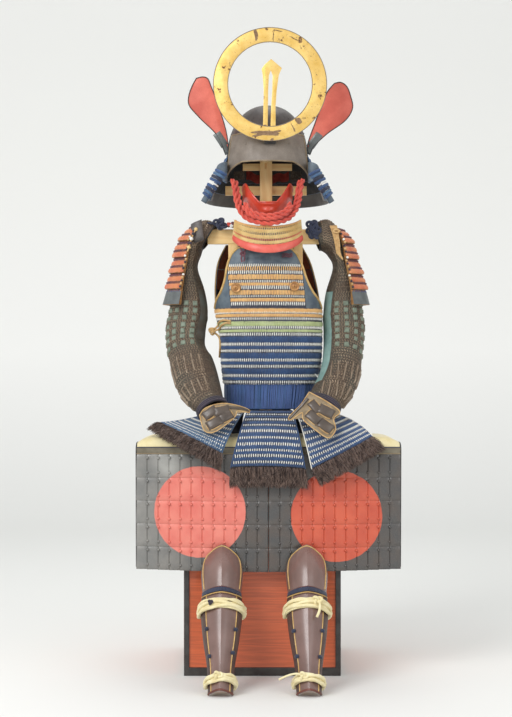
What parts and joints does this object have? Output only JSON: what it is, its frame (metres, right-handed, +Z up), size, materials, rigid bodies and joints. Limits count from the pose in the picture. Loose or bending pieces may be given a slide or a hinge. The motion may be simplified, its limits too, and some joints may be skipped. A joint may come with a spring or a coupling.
{
  "type": "samurai armour seated on its storage box and wooden stand",
  "caption": "Laced Japanese armour, empty and hollow, seated on its storage box with a plain wooden stand inside that carries helmet, cuirass, sleeves, skirts, thigh and shin guards.",
  "frame": {"origin": "on the floor, under the middle of the armour, in the flat underside of the storage box", "axes": "+Z up, +Y to the back of the armour, +X to the right of someone who faces it"},
  "size_m": [0.7, 0.7487, 1.741],
  "materials": {
    "gilt": "gilded metal, worn, with dark flecks",
    "pale_wood": "plain pale softwood, unvarnished",
    "red_lacquer": "red lacquer over iron, soft gloss",
    "red_cord": "twisted red silk cord",
    "box_red": "red-brown lacquered wood with open grain and a dark frame",
    "brown_iron": "dark brown lacquered iron",
    "taupe": "warm grey-brown leather over iron",
    "teal_cloth": "pale teal cotton cloth",
    "blue_lacing": "blue silk lacing with white rows",
    "orange_lacing": "faded orange and cream silk lacing",
    "cream": "cream hemp and cotton",
    "black_lacquer": "glossy black lacquered plates",
    "fur": "dark brown bear fur",
    "mail_cloth": "brown cloth covered with mail and small plates",
    "shin_brown": "brown lacquered iron, soft gloss",
    "slate_leather": "blue-grey leather with pale piping"
  },
  "bodies": {
    "root": {"box_body": "box_red", "box_lid": "box_red", "stand_post": "pale_wood", "stand_shoulder_beam": "pale_wood", "stand_body_frame": "pale_wood", "thigh_board": "pale_wood", "belly_front": "blue_lacing", "belly_back": "blue_lacing", "waist_lacing": "blue_lacing", "neck_lame_1": "blue_lacing", "neck_lame_2": "blue_lacing", "skirt_front_centre": "blue_lacing", "skirt_front_left": "blue_lacing", "skirt_front_right": "blue_lacing", "skirt_back_centre": "blue_lacing", "skirt_back_left": "blue_lacing", "skirt_back_right": "blue_lacing", "breast_rows": "orange_lacing", "shoulder_guard_left": "orange_lacing", "shoulder_guard_right": "orange_lacing", "breast_top": "slate_leather", "side_plate_left": "slate_leather", "side_plate_right": "slate_leather", "strap_left": "slate_leather", "strap_right": "slate_leather", "back_rows": "brown_iron", "back_top": "brown_iron", "helmet_bowl": "brown_iron", "neck_lame_3": "brown_iron", "fur_front_centre": "fur", "fur_front_left": "fur", "fur_front_right": "fur", "thigh_cloth_left": "cream", "thigh_cloth_right": "cream", "throat_guard": "cream", "tie_upper_left": "cream", "tie_upper_right": "cream", "tie_lower_left": "cream", "tie_lower_right": "cream", "side_cord": "cream", "thigh_plates_left": "black_lacquer", "thigh_plates_right": "black_lacquer", "sleeve_left": "mail_cloth", "sleeve_right": "mail_cloth", "hand_guard_left": "taupe", "hand_guard_right": "taupe", "helmet_brow": "taupe", "sleeve_left_inner": "teal_cloth", "sleeve_right_inner": "teal_cloth", "crest_ring": "gilt", "crest_blade": "gilt", "side_crest_left": "red_lacquer", "side_crest_right": "red_lacquer", "half_mask": "red_lacquer", "throat_rim": "red_lacquer", "helmet_cord": "red_cord", "shin_left": "shin_brown", "shin_right": "shin_brown", "knee_left": "shin_brown", "knee_right": "shin_brown"}
  },
  "joints": []
}
